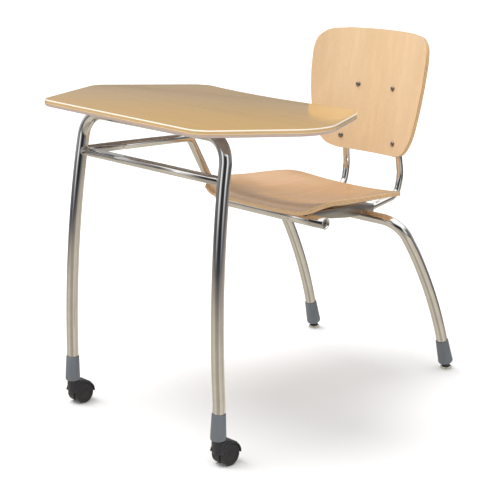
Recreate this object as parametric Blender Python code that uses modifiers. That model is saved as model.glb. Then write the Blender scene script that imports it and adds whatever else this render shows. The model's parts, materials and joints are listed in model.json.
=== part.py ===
"""Student desk chair: hexagonal work surface on a bowed tube frame, moulded plywood seat and back.

Stations along Y are measured from the front boots and X from midway between them; the
last step moves the whole assembly so that its bounding box is centred on the origin. +Z is up and the sitter
faces -Y, so the sitter's right hand is on the -X side.
"""

import math

import bmesh
import bpy
import numpy as np
from mathutils import Matrix, Vector

GAP = 0.0003

# Work surface
TOP_Z = 0.737
TOP_THICK = 0.016
TOP_CORNERS = (
    (-0.272, -0.070),
    (0.262, -0.092),
    (0.388, 0.145),
    (0.268, 0.404),
    (-0.268, 0.430),
    (-0.408, 0.190),
)
TOP_SAG = 0.021
TOP_CORNER_R = 0.050

# Front frame
LEG_R = 0.0137
LEG_WALL = 0.0016
LEG_FOOT_X = 0.2505
LEG_SPLAY = 0.0356
LEG_BOW = 0.030
LEG_BOW_Z = 0.30
LEG_STRAIGHT_Z = 0.14
LEG_RUN_Z = TOP_Z - TOP_THICK - GAP - LEG_R
LEG_BEND_R = 0.058
BAR_Z = 0.6173
BAR_R = 0.0102

# Connecting rail and seat beam
RAIL_R = 0.0106
RAIL_BEND_Y = 0.350
RAIL_BEND_Z = 0.6153
RAIL_BEND_R = 0.030
RAIL_DROP = (-0.2675, 0.4790)
RAIL_LOW_BEND_R = 0.025
RAIL_TURN_X = -0.200
RAIL_END_X = -0.120
BEAM_Y = 0.4471
BEAM_Z = 0.4498
BEAM_R = 0.0141
BEAM_WALL = 0.0028
BEAM_X = (-0.190, 0.139)

# Rear frame, seat and back, all centred on this station
SEAT_X = -0.051
ARCH_R = 0.0140
ARCH_Y = 0.702
ARCH_Z = 0.4195
ARCH_BEND_R = 0.055
HOOP_R = 0.0088
SHELL = 0.010
SEAT_HALF = 0.1955
SEAT_FRONT_Y = 0.393
SEAT_REAR_Y = 0.757
BACK_RADIUS = 0.31
BACK_Y = 0.825
BACK_REF_Z = 0.590
BACK_LEAN = 0.139
BRACKET_U = 0.078
BRACKET_HALF = 0.018
BRACKET_WALL = 0.0025

# Feet
BOOT_TOP_Z = 0.121
BOOT_BOTTOM_Z = 0.0610
BOOT_FLOOR_Z = 0.0655
WHEEL_R = 0.025
WHEEL_SIDES = 24
CASTER_TRAIL = 0.0235
REAR_BOOT_Z = 0.0175
REAR_BOOT_LEN = 0.068
BALL_Z = 0.0102
BALL_R = 0.0055

for stale in list(bpy.data.objects):
    bpy.data.objects.remove(stale)

scene = bpy.context.scene
parts = bpy.data.collections.new("student_desk_chair")
tools = bpy.data.collections.new("cutters")
scene.collection.children.link(parts)
scene.collection.children.link(tools)
tools.hide_render = True


def material(name, colour, metallic, roughness):
    mat = bpy.data.materials.new(name)
    mat.use_nodes = True
    shader = mat.node_tree.nodes["Principled BSDF"]
    shader.inputs["Base Color"].default_value = (*colour, 1.0)
    shader.inputs["Metallic"].default_value = metallic
    shader.inputs["Roughness"].default_value = roughness
    return mat


LAMINATE = material("maple_laminate", (0.61, 0.36, 0.12), 0.0, 0.25)
PLYWOOD = material("maple_plywood", (0.58, 0.33, 0.14), 0.0, 0.3)
CHROME = material("chrome_tube", (0.75, 0.75, 0.76), 1.0, 0.08)
BRACKET_STEEL = material("satin_steel", (0.45, 0.45, 0.44), 1.0, 0.35)
BOOT_GREY = material("grey_boot_plastic", (0.14, 0.16, 0.18), 0.0, 0.4)
BLACK = material("black_plastic", (0.02, 0.02, 0.022), 0.0, 0.35)
SCREW_STEEL = material("screw_steel", (0.3, 0.3, 0.31), 1.0, 0.3)
GLIDE_METAL = material("glide_metal", (0.6, 0.6, 0.6), 1.0, 0.2)


def place(name, mesh, mat, location=(0, 0, 0), smooth=True, where=parts):
    obj = bpy.data.objects.new(name, mesh)
    obj.location = location
    where.objects.link(obj)
    if where is tools:
        obj.display_type = "WIRE"
        obj.hide_render = True
        return obj
    mesh.materials.clear()
    mesh.materials.append(mat)
    mesh.polygons.foreach_set("use_smooth", [smooth] * len(mesh.polygons))
    return obj


def finished(name, bm):
    bmesh.ops.remove_doubles(bm, verts=bm.verts, dist=1e-6)
    bmesh.ops.recalc_face_normals(bm, faces=bm.faces)
    mesh = bpy.data.meshes.new(name)
    bm.to_mesh(mesh)
    bm.free()
    return mesh


def rounded_path(corners, radii, steps=7):
    """The corner points, with an arc of the given radius at each inner one."""
    path = [Vector(corners[0])]
    for before, corner, after, radius in zip(corners, corners[1:], corners[2:], radii):
        corner = Vector(corner)
        back = (Vector(before) - corner).normalized()
        ahead = (Vector(after) - corner).normalized()
        half = back.angle(ahead) / 2
        if radius <= 0 or half > math.radians(89):
            path.append(corner)
            continue
        reach = radius / math.tan(half)
        centre = corner + (back + ahead).normalized() * (radius / math.sin(half))
        start = corner + back * reach - centre
        axis = ahead.cross(back)
        turn = math.pi - 2 * half
        for i in range(steps + 1):
            swing = Matrix.Rotation(turn * i / steps, 3, axis)
            path.append(centre + swing @ start)
    path.append(Vector(corners[-1]))
    return path


def sweep(name, path, radius, sides=4, capped=False):
    """A round bar or open tube along the path, as a mesh."""
    curve = bpy.data.curves.new(name, "CURVE")
    curve.dimensions = "3D"
    curve.bevel_depth = radius
    curve.bevel_resolution = sides
    curve.use_fill_caps = capped
    curve.twist_mode = "MINIMUM"
    spline = curve.splines.new("POLY")
    spline.points.add(len(path) - 1)
    for point, spot in zip(spline.points, path):
        point.co = (*spot, 1.0)
    carrier = bpy.data.objects.new(name, curve)
    tools.objects.link(carrier)
    depsgraph = bpy.context.evaluated_depsgraph_get()
    mesh = bpy.data.meshes.new_from_object(carrier.evaluated_get(depsgraph))
    bpy.data.objects.remove(carrier)
    bm = bmesh.new()
    bm.from_mesh(mesh)
    return finished(name, bm)


def tube(name, path, radius, wall, mat, sides=5):
    """A hollow tube with open ends."""
    obj = place(name, sweep(name, path, radius, sides), mat)
    shell = obj.modifiers.new("wall", "SOLIDIFY")
    shell.thickness = wall
    shell.offset = -1.0
    return obj


def rod_cutter(name, path, radius, sides=5):
    return place(name, sweep(name, path, radius, sides, capped=True), None, where=tools)


def cut(obj, *cutters, operation="DIFFERENCE"):
    for cutter in cutters:
        step = obj.modifiers.new(cutter.name, "BOOLEAN")
        step.operation = operation
        step.solver = "EXACT"
        step.object = cutter


def lathe(name, profile, sides=24, phase=0.0, closed=False):
    """The (radius, height) profile turned about Z."""
    bm = bmesh.new()
    verts = [bm.verts.new((r, 0.0, z)) for r, z in profile]
    pairs = list(zip(verts, verts[1:]))
    if closed:
        pairs.append((verts[-1], verts[0]))
    edges = [bm.edges.new(pair) for pair in pairs]
    bmesh.ops.spin(bm, geom=verts + edges, cent=(0, 0, 0), axis=(0, 0, 1), angle=math.tau, steps=sides)
    bmesh.ops.rotate(bm, verts=bm.verts, cent=(0, 0, 0), matrix=Matrix.Rotation(phase, 3, "Z"))
    return finished(name, bm)


def turned_to(mesh, direction):
    """The mesh with its +Z swung onto the direction."""
    mesh.transform(Vector((0, 0, 1)).rotation_difference(Vector(direction)).to_matrix().to_4x4())
    return mesh


def prism(name, outline, axis, low, high):
    """The closed outline extruded along X or Z from low to high."""
    bm = bmesh.new()
    if axis == "X":
        verts = [bm.verts.new((low, a, b)) for a, b in outline]
        shift = (high - low, 0, 0)
    else:
        verts = [bm.verts.new((a, b, low)) for a, b in outline]
        shift = (0, 0, high - low)
    face = bm.faces.new(verts)
    grown = bmesh.ops.extrude_face_region(bm, geom=[face])["geom"]
    moved = [v for v in grown if isinstance(v, bmesh.types.BMVert)]
    bmesh.ops.translate(bm, verts=moved, vec=shift)
    return finished(name, bm)


def bevelled(obj, width, segments=2, angle=40):
    bevel = obj.modifiers.new("edge", "BEVEL")
    bevel.width = width
    bevel.segments = segments
    bevel.limit_method = "ANGLE"
    bevel.angle_limit = math.radians(angle)
    return obj


def block(name, low, high, where=tools, mat=None):
    bm = bmesh.new()
    bmesh.ops.create_cube(bm, size=1.0)
    low, high = Vector(low), Vector(high)
    bmesh.ops.scale(bm, verts=bm.verts, vec=high - low)
    bmesh.ops.translate(bm, verts=bm.verts, vec=(low + high) / 2)
    return place(name, finished(name, bm), mat, smooth=False, where=where)


def pin_mesh(name, head_r, head_h, shank_r, shank_len, hex_r=0.0, sides=12):
    """A domed screw: its head rises to +Z from the origin and its shank runs to -Z."""
    profile = [(0.0, -shank_len), (shank_r, -shank_len), (shank_r, 0.0), (head_r, 0.0)]
    profile += [(head_r, head_h * 0.35), (head_r * 0.82, head_h * 0.8), (head_r * 0.5, head_h)]
    if hex_r:
        profile += [(hex_r, head_h), (hex_r, head_h * 0.35), (0.0, head_h * 0.35)]
    else:
        profile += [(0.0, head_h)]
    return lathe(name, profile, sides)


# ---------------------------------------------------------------- work surface


def top_outline():
    """Six rounded corners; the rear edge bows in slightly."""
    ring = [Vector((x, y, 0)) for x, y in TOP_CORNERS]
    path = rounded_path([ring[-1], *ring, ring[0]], [TOP_CORNER_R] * 6, steps=6)[1:-1]
    outline = []
    for here, ahead in zip(path, path[1:] + path[:1]):
        outline.append((here.x, here.y))
        if here.y > 0.3 and here.x - ahead.x > 0.2:
            for i in range(1, 10):
                t = i / 10
                spot = here.lerp(ahead, t)
                outline.append((spot.x, spot.y - TOP_SAG * 4 * t * (1 - t)))
    return outline


desktop = place("desktop", prism("desktop", top_outline(), "Z", TOP_Z - TOP_THICK, TOP_Z), LAMINATE)
bevelled(desktop, 0.0055, 3)

ARM_HIGH = TOP_Z - TOP_THICK - GAP
ARM_LOW = ARM_HIGH - 0.0052
ARM_X = 0.120
ARM_Y = (0.0408, 0.345)
ARM_SCREWS_Y = (0.065, 0.190, 0.325)
for side, tag in ((-1, "right"), (1, "left")):
    x = side * ARM_X
    strap = [
        (x - 0.016, ARM_Y[0]),
        (x + 0.016, ARM_Y[0]),
        (x + 0.016, ARM_Y[1] - 0.012),
        (x + 0.006, ARM_Y[1]),
        (x - 0.006, ARM_Y[1]),
        (x - 0.016, ARM_Y[1] - 0.012),
    ]
    arm = place(f"top_arm_{tag}", prism("arm", strap, "Z", ARM_LOW, ARM_HIGH), CHROME, smooth=False)
    for i, y in enumerate(ARM_SCREWS_Y):
        hole = [Vector((x, y, ARM_LOW - 0.01)), Vector((x, y, TOP_Z - 0.006))]
        cutter = rod_cutter(f"top_hole_{tag}_{i}", hole, 0.0024, sides=2)
        cut(arm, cutter)
        cut(desktop, cutter)
        mesh = pin_mesh("top_screw", 0.0046, 0.0026, 0.0020, ARM_HIGH - ARM_LOW + 0.008)
        mesh.transform(Matrix.Rotation(math.pi, 4, "X"))
        place(f"top_screw_{tag}_{i + 1}", mesh, SCREW_STEEL, (x, y, ARM_LOW - GAP))

# ---------------------------------------------------------------- front frame


def leg_point(z, side):
    """Centre line of a front leg: a slight splay and a forward bow."""
    rise = max(z, LEG_STRAIGHT_Z)
    bow = LEG_BOW * (((rise - LEG_BOW_Z) / 0.4) ** 2 - ((LEG_STRAIGHT_Z - LEG_BOW_Z) / 0.4) ** 2)
    return Vector((side * (LEG_FOOT_X - LEG_SPLAY * (rise - LEG_STRAIGHT_Z)), bow, z))


LEG_STATIONS = (0.066, 0.14, 0.20, 0.26, 0.32, 0.38, 0.44, 0.50, 0.56, 0.61, LEG_RUN_Z)
half_leg = [leg_point(z, -1) for z in LEG_STATIONS]
other_leg = [Vector((-p.x, p.y, p.z)) for p in reversed(half_leg)]
bends = [0.0] * (len(half_leg) - 2) + [LEG_BEND_R, LEG_BEND_R] + [0.0] * (len(half_leg) - 2)
leg_path = rounded_path(half_leg + other_leg, bends, steps=7)
front_frame = tube("front_leg_frame", leg_path, LEG_R, LEG_WALL, CHROME)
leg_cutter = rod_cutter("leg_clearance", leg_path, LEG_R + GAP)

bar_left, bar_right = leg_point(BAR_Z, 1), leg_point(BAR_Z, -1)
crossbar = tube("front_crossbar", [bar_right, bar_left], BAR_R, LEG_WALL, CHROME)
cut(crossbar, leg_cutter)

rail_bend = Vector((bar_right.x + 0.001, RAIL_BEND_Y, RAIL_BEND_Z))
rail_drop = Vector((*RAIL_DROP, BEAM_Z))
rail_turn = Vector((RAIL_TURN_X, BEAM_Y, BEAM_Z))
rail_end = Vector((RAIL_END_X, BEAM_Y, BEAM_Z))
rail_corners = [bar_right, rail_bend, rail_drop, rail_turn, rail_end]
rail_path = rounded_path(rail_corners, [RAIL_BEND_R, RAIL_LOW_BEND_R, RAIL_LOW_BEND_R])
rail = tube("connecting_rail", rail_path, RAIL_R, LEG_WALL, CHROME)
bar_cutter = rod_cutter("bar_clearance", [bar_right - Vector((0.01, 0, 0)), bar_left], BAR_R + GAP)
beam_axis = [Vector((BEAM_X[0], BEAM_Y, BEAM_Z)), Vector((BEAM_X[1], BEAM_Y, BEAM_Z))]
beam_cutter = rod_cutter("beam_clearance", beam_axis, BEAM_R + GAP)
cut(rail, leg_cutter, bar_cutter)

tube("seat_beam", beam_axis, BEAM_R, BEAM_WALL, CHROME)
plug = [(0.0042, 0.0), (0.0100, 0.0), (0.0108, 0.0012), (0.0108, 0.008), (0.0042, 0.008)]
plug_mesh = turned_to(lathe("beam_plug", plug, 16, closed=True), (-1, 0, 0))
place("beam_plug", plug_mesh, BLACK, (BEAM_X[1] - 0.003, BEAM_Y, BEAM_Z))

# ---------------------------------------------------------------- seat shell

SEAT_Y = (0.393, 0.405, 0.425, 0.450, 0.500, 0.560, 0.620, 0.680, 0.730, 0.757)
SEAT_CENTRE_Z = (0.4735, 0.4795, 0.4828, 0.4815, 0.4740, 0.4655, 0.4640, 0.4670, 0.4735, 0.4775)
SEAT_DISH = (0.0080, 0.0110, 0.0150, 0.0200, 0.0285, 0.0345, 0.0350, 0.0300, 0.0200, 0.0130)


def smooth_interp(x, xs, ys):
    """Piecewise cubic through the stations, with slopes from their neighbours."""
    slopes = np.gradient(np.array(ys), np.array(xs))
    i = int(np.clip(np.searchsorted(xs, x) - 1, 0, len(xs) - 2))
    h = xs[i + 1] - xs[i]
    t = (x - xs[i]) / h
    rise = (2 * t**3 - 3 * t**2 + 1) * ys[i] + (3 * t**2 - 2 * t**3) * ys[i + 1]
    return rise + h * ((t**3 - 2 * t**2 + t) * slopes[i] + (t**3 - t**2) * slopes[i + 1])


def seat_top_z(u, y):
    """Height of the sitting surface at u from the seat's centre line."""
    dish = smooth_interp(y, SEAT_Y, SEAT_DISH)
    return smooth_interp(y, SEAT_Y, SEAT_CENTRE_Z) + dish * (abs(u) / SEAT_HALF) ** 2.6


def superellipse(s, t, power):
    """A square grid point drawn onto a rounded-square disc."""
    reach = max(abs(s), abs(t))
    if reach == 0:
        return 0.0, 0.0
    scale = reach / (abs(s) ** power + abs(t) ** power) ** (1 / power)
    return s * scale, t * scale


def shell_grid(name, across, along, spot):
    """A grid of (s, t) in -1..1 with each vertex moved to spot(s, t)."""
    bm = bmesh.new()
    bmesh.ops.create_grid(bm, x_segments=across, y_segments=along, size=1.0)
    for vert in bm.verts:
        vert.co = spot(vert.co.x, vert.co.y)
    return finished(name, bm)


def seat_spot(s, t):
    s, t = superellipse(s, t, 9.0)
    middle = (SEAT_FRONT_Y + SEAT_REAR_Y) / 2
    depth = (SEAT_REAR_Y - SEAT_FRONT_Y) / 2
    half = SEAT_HALF * (1.0 - 0.02 * (1 + t) - 0.015 * max(0.0, -t) ** 3)
    u, y = s * half, middle + t * depth - 0.004 * (1 - s * s) * (t < 0)
    y = min(max(y, SEAT_Y[0]), SEAT_Y[-1])
    return Vector((SEAT_X + u, y, seat_top_z(u, y)))


def ply(obj):
    skin = obj.modifiers.new("ply", "SOLIDIFY")
    skin.thickness = SHELL
    skin.offset = -1.0
    skin.use_even_offset = True
    return bevelled(obj, 0.0016, 2, 60)


seat_mesh = shell_grid("seat_shell", 18, 18, seat_spot)
seat = ply(place("seat_shell", seat_mesh, PLYWOOD))

for side, tag in ((-1, "right"), (1, "left")):
    u, y = side * 0.128, BEAM_Y
    top = min(seat_top_z(u + du, y + dy) for du in (-0.01, 0.01) for dy in (-0.01, 0.01)) - SHELL - 0.0008
    pad = block(
        f"seat_pad_{tag}",
        (SEAT_X + u - 0.010, y - 0.010, BEAM_Z + 0.004),
        (SEAT_X + u + 0.010, y + 0.010, top),
        where=parts,
        mat=BLACK,
    )
    cut(pad, beam_cutter)

# ---------------------------------------------------------------- rear frame

SEAT_ORIGIN = Vector((SEAT_X, 0, 0))


def rear_leg_point(z, side):
    """Centre line of a rear leg: it bows backwards and splays a little."""
    s = z - 0.1
    return Vector((SEAT_X + side * (0.2321 - 0.0415 * s - 0.0713 * s * s), 0.8776 - 0.3545 * s - 0.6046 * s * s, z))


ARCH_STATIONS = (0.048, 0.10, 0.15, 0.20, 0.25, 0.30, 0.34, ARCH_Z)
half_arch = [rear_leg_point(z, -1) for z in ARCH_STATIONS]
half_arch[-1].y = ARCH_Y
other_arch = [Vector((2 * SEAT_X - p.x, p.y, p.z)) for p in reversed(half_arch)]
bends = [0.0] * (len(half_arch) - 2) + [ARCH_BEND_R, ARCH_BEND_R] + [0.0] * (len(half_arch) - 2)
arch_path = rounded_path(half_arch + other_arch, bends, steps=7)
arch = tube("rear_leg_arch", arch_path, ARCH_R, LEG_WALL, CHROME)

# ---------------------------------------------------------------- back shell and hoop

BACK_Z = (0.557, 0.566, 0.582, 0.612, 0.660, 0.720, 0.780, 0.822, 0.846, 0.862, 0.8735)
BACK_HALF = (0.096, 0.127, 0.144, 0.161, 0.173, 0.182, 0.186, 0.185, 0.178, 0.161, 0.104)


def back_front_y(u, z):
    """Front surface of the back: it leans back and wraps forward at the sides."""
    return BACK_Y + (z - BACK_REF_Z) * BACK_LEAN - u * u / (2 * BACK_RADIUS)


def back_spot(s, t):
    z = BACK_Z[0] + (BACK_Z[-1] - BACK_Z[0]) * (0.5 + 0.5 * math.sin(t * math.pi / 2))
    half = float(np.interp(z, BACK_Z, BACK_HALF))
    u = s * half
    z += (0.006 * (1 - t) - 0.004 * (1 + t)) * 0.5 * (u / 0.19) ** 2
    return Vector((SEAT_X + u, back_front_y(u, z), z))


back_mesh = shell_grid("back_shell", 14, 20, back_spot)
back = ply(place("back_shell", back_mesh, PLYWOOD))
if back_mesh.polygons[0].normal.y > 0:
    back_mesh.flip_normals()

HOOP_SIDE = (
    (0.0780, 0.7180, 0.4305),
    (0.0785, 0.7570, 0.4312),
    (0.0905, 0.8370, 0.4530),
    (0.0918, 0.8475, 0.5050),
    (0.0885, 0.8325, 0.5900),
    (0.0735, 0.8458, 0.6600),
    (0.0580, 0.8585, 0.7270),
    (0.0480, 0.8712, 0.7780),
)
HOOP_BENDS = (0.03, 0.035, 0.09, 0.25, 0.25, 0.25, 0.034)


def hoop_side(side):
    return [Vector((SEAT_X + side * u, y, z)) for u, y, z in HOOP_SIDE]


hoop_corners = hoop_side(-1) + hoop_side(1)[::-1]
hoop_path = rounded_path(hoop_corners, HOOP_BENDS + HOOP_BENDS[::-1], steps=3)
hoop = tube("back_hoop", hoop_path, HOOP_R, 0.0015, CHROME, sides=4)

BACK_SCREWS = (
    ("upper_right", -0.0580, 0.727),
    ("upper_left", 0.0580, 0.727),
    ("lower_right", -0.0880, 0.590),
    ("lower_left", 0.0880, 0.590),
)
for tag, u, z in BACK_SCREWS:
    facing = Vector((-u / BACK_RADIUS, -1.0, BACK_LEAN)).normalized()
    spot = Vector((SEAT_X + u, back_front_y(u, z), z))
    hole = rod_cutter(f"back_hole_{tag}", [spot + facing * 0.01, spot - facing * 0.02], 0.0034, sides=2)
    cut(back, hole)
    mesh = turned_to(pin_mesh("back_screw", 0.0066, 0.0034, 0.0030, SHELL, hex_r=0.0022, sides=14), facing)
    place(f"back_screw_{tag}", mesh, SCREW_STEEL, spot + facing * 0.0006)

# ---------------------------------------------------------------- seat brackets

BRACKET_TOP = ((0.4625, 0.4560), (0.5200, 0.4525), (0.6000, 0.4512), (0.6700, 0.4505), (0.7420, 0.4430))
BRACKET_LOW = ((0.7420, 0.4190), (0.7000, 0.4190), (0.6400, 0.4205), (0.5800, 0.4265), (0.5300, 0.4350), (0.4625, 0.4420))
BRACKET_SCREWS_Y = (0.525, 0.650)

for side, tag in ((-1, "right"), (1, "left")):
    x = SEAT_X + side * BRACKET_U
    outline = list(BRACKET_TOP + BRACKET_LOW)
    body = prism("bracket", outline, "X", x - BRACKET_HALF, x + BRACKET_HALF)
    bracket = bevelled(place(f"seat_bracket_{tag}", body, BRACKET_STEEL), 0.0030, 3)
    inner = BRACKET_HALF - BRACKET_WALL
    roof = [(y, z - BRACKET_WALL) for y, z in BRACKET_TOP]
    roof[0] = (roof[0][0] + BRACKET_WALL, roof[0][1])
    roof[-1] = (roof[-1][0] + 0.01, roof[-1][1] - 0.001)
    floor = [(roof[-1][0], 0.400), (roof[0][0], 0.400)]
    hollow = place("bracket_hollow", prism("hollow", roof + floor, "X", x - inner, x + inner), None, where=tools)
    saddle = [Vector((x - 0.03, ARCH_Y, ARCH_Z)), Vector((x + 0.03, ARCH_Y, ARCH_Z))]
    saddle_cutter = rod_cutter(f"arch_saddle_{tag}", saddle, ARCH_R + GAP)
    cut(bracket, hollow, saddle_cutter)
    for i, y in enumerate(BRACKET_SCREWS_Y):
        under = float(np.interp(y, [p[0] for p in BRACKET_TOP], [p[1] for p in BRACKET_TOP])) - BRACKET_WALL
        deep = seat_top_z(side * BRACKET_U, y) - 0.0045
        hole = [Vector((x, y, under - 0.004)), Vector((x, y, deep))]
        cutter = rod_cutter(f"seat_hole_{tag}_{i}", hole, 0.0029, sides=2)
        cut(bracket, cutter)
        cut(seat, cutter)
        mesh = pin_mesh("seat_screw", 0.0052, 0.0030, 0.0025, deep - under - 0.0010)
        mesh.transform(Matrix.Rotation(math.pi, 4, "X"))
        place(f"seat_screw_{tag}_{i + 1}", mesh, SCREW_STEEL, (x, y, under - 0.0006))

# ---------------------------------------------------------------- front boots and casters

FRONT_BOOT = (
    (0.0060, BOOT_BOTTOM_Z),
    (0.0160, BOOT_BOTTOM_Z),
    (0.0173, BOOT_BOTTOM_Z + 0.0015),
    (0.0174, BOOT_BOTTOM_Z + 0.010),
    (0.0155, BOOT_TOP_Z - 0.003),
    (0.0149, BOOT_TOP_Z),
    (0.0141, BOOT_TOP_Z),
    (0.0141, BOOT_FLOOR_Z),
    (0.0060, BOOT_FLOOR_Z),
)
STEM = (
    (0.0, 0.0375),
    (0.0054, 0.0375),
    (0.0054, 0.0480),
    (0.0057, 0.0600),
    (0.0057, 0.0950),
    (0.0045, 0.0970),
    (0.0, 0.0970),
)
WHEEL = (
    (0.0029, 0.0070),
    (0.0232, 0.0070),
    (0.0250, 0.0088),
    (0.0250, 0.0166),
    (0.0236, 0.0185),
    (0.0195, 0.0185),
    (0.0183, 0.0171),
    (0.0085, 0.0171),
    (0.0075, 0.0185),
    (0.0029, 0.0185),
)


CASTER_SADDLE = (
    (-0.0030, 0.0300),
    (0.0300, 0.0300),
    (0.0480, 0.0400),
    (0.0400, 0.0515),
    (0.0160, 0.0595),
    (-0.0030, 0.0595),
)


def caster_body(name, x):
    """Hood, centre web and stem boss in one moulding, with its origin on the swivel axis."""
    hood = bmesh.new()
    ring = [(-0.0190, 0.0262), (0.0190, 0.0262), (0.0190, 0.0296), (-0.0190, 0.0296)]
    verts = [hood.verts.new((a, CASTER_TRAIL, WHEEL_R + b)) for a, b in ring]
    face = hood.faces.new(verts)
    bmesh.ops.rotate(
        hood, verts=hood.verts, cent=(0, CASTER_TRAIL, WHEEL_R), matrix=Matrix.Rotation(math.radians(78), 3, "X")
    )
    bmesh.ops.spin(
        hood,
        geom=[face, *face.edges, *face.verts],
        cent=(0, CASTER_TRAIL, WHEEL_R),
        axis=(1, 0, 0),
        angle=math.radians(-166),
        steps=14,
    )
    bmesh.ops.holes_fill(hood, edges=[e for e in hood.edges if e.is_boundary])
    body = place(name, finished(name, hood), BLACK, (x, 0, 0))
    web = turned_to(lathe("web", [(0.0, -0.0064), (0.0272, -0.0064), (0.0272, 0.0064), (0.0, 0.0064)], 28), (1, 0, 0))
    boss_profile = [(0.0, 0.028), (0.0110, 0.028), (0.0118, 0.046), (0.0125, 0.0595), (0.0, 0.0595)]
    pieces = [
        place("caster_saddle", prism("saddle", CASTER_SADDLE, "X", -0.0172, 0.0172), None, (x, 0, 0), where=tools),
        place("caster_web", web, None, (x, CASTER_TRAIL, WHEEL_R), where=tools),
        place("caster_boss", lathe("boss", boss_profile, 20), None, (x, 0, 0), where=tools),
    ]
    below = block("caster_below", (x - 0.03, -0.03, -0.03), (x + 0.03, 0.08, 0.0135))
    cut(body, *pieces, operation="UNION")
    stem_hole = rod_cutter("stem_hole", [Vector((x, 0, 0.037)), Vector((x, 0, 0.06))], 0.0060)
    axle = [Vector((x - 0.03, CASTER_TRAIL, WHEEL_R)), Vector((x + 0.03, CASTER_TRAIL, WHEEL_R))]
    cut(body, below, stem_hole, rod_cutter("axle_hole", axle, 0.0030, sides=4))
    wheel_room = [(0.0, 0.0066), (0.0257, 0.0066), (0.0257, 0.0300), (0.0, 0.0300)]
    for way in (-1, 1):
        room = place(
            "wheel_room",
            turned_to(lathe("room", wheel_room, 28), (way, 0, 0)),
            None,
            (x, CASTER_TRAIL, WHEEL_R),
            where=tools,
        )
        cut(body, room)
    return body


for side, tag in ((-1, "right"), (1, "left")):
    x = leg_point(0.1, side).x
    place(f"front_boot_{tag}", lathe("front_boot", FRONT_BOOT, 24, closed=True), BOOT_GREY, (x, 0, 0))
    place(f"caster_stem_{tag}", lathe("stem", STEM, 12), GLIDE_METAL, (x, 0, 0))
    caster_body(f"caster_body_{tag}", x)
    pin = [(0.0, -0.0190), (0.0026, -0.0190), (0.0026, 0.0190), (0.0, 0.0190)]
    centre = (x, CASTER_TRAIL, WHEEL_R)
    place(f"caster_axle_{tag}", turned_to(lathe("axle", pin, 12), (1, 0, 0)), GLIDE_METAL, centre)
    for way, face in ((-1, "a"), (1, "b")):
        flats = WHEEL_R / math.cos(math.pi / WHEEL_SIDES) / WHEEL_R
        profile = [(r * flats, w) for r, w in WHEEL]
        mesh = turned_to(lathe("wheel", profile, WHEEL_SIDES, math.pi / WHEEL_SIDES, closed=True), (way, 0, 0))
        place(f"caster_wheel_{tag}_{face}", mesh, BLACK, centre)

# ---------------------------------------------------------------- rear boots and glides

REAR_BOOT = (
    (0.0050, 0.0),
    (0.0150, 0.0),
    (0.0182, 0.0014),
    (0.0194, 0.0050),
    (0.0190, 0.0110),
    (0.0166, REAR_BOOT_LEN - 0.004),
    (0.0158, REAR_BOOT_LEN),
    (0.0144, REAR_BOOT_LEN),
    (0.0144, 0.0300),
    (0.0050, 0.0300),
)
GLIDE_SOCKET = (
    (0.0, 0.0035),
    (0.0115, 0.0035),
    (0.0115, 0.0080),
    (0.0092, 0.0124),
    (0.0054, 0.0124),
    (0.0058, 0.0102),
    (0.0050, 0.0073),
    (0.0029, 0.0052),
    (0.0, 0.0044),
)
GLIDE_CUP = (
    (0.0, 0.0),
    (0.0138, 0.0),
    (0.0150, 0.0012),
    (0.0148, 0.0060),
    (0.0136, 0.0068),
    (0.0118, 0.0064),
    (0.0118, 0.0032),
    (0.0, 0.0032),
)

for side, tag in ((-1, "right"), (1, "left")):
    lower, upper = rear_leg_point(0.048, side), rear_leg_point(0.10, side)
    up = (upper - lower).normalized()
    foot = lower + up * ((REAR_BOOT_Z - lower.z) / up.z)
    ball = lower + up * ((BALL_Z - lower.z) / up.z)
    boot_mesh = turned_to(lathe("rear_boot", REAR_BOOT, 24, closed=True), up)
    place(f"rear_boot_{tag}", boot_mesh, BOOT_GREY, foot)
    reach = (foot - ball).length + 0.026
    ball_profile = [(BALL_R * math.sin(a), -BALL_R * math.cos(a)) for a in np.linspace(0, 2.3, 8)]
    ball_profile[0] = (0.0, -BALL_R)
    stem_profile = ball_profile + [(0.0041, 0.0055), (0.0041, reach), (0.0, reach)]
    place(f"glide_stem_{tag}", turned_to(lathe("glide_stem", stem_profile, 16), up), GLIDE_METAL, ball)
    lift = Matrix.Translation((0, 0, -BALL_Z))
    for name, profile, mat in (("glide_socket", GLIDE_SOCKET, BLACK), ("glide_cup", GLIDE_CUP, GLIDE_METAL)):
        mesh = lathe(name, profile, 24)
        mesh.transform(lift)
        place(f"{name}_{tag}", mesh, mat, ball)

# ---------------------------------------------------------------- centre on the origin

outline = np.array(top_outline())
CENTRE_X = float(outline[:, 0].min() + outline[:, 0].max()) / 2
CENTRE_Y = float(outline[:, 1].min() + ball.y + GLIDE_CUP[2][0]) / 2
for obj in (*parts.objects, *tools.objects):
    obj.location.x -= CENTRE_X
    obj.location.y -= CENTRE_Y
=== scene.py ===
"""Student desk chair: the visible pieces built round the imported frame, as an add-on layout run as a script."""

import json
import math

import bmesh
import bpy
import numpy as np
from mathutils import Matrix, Vector

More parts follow.
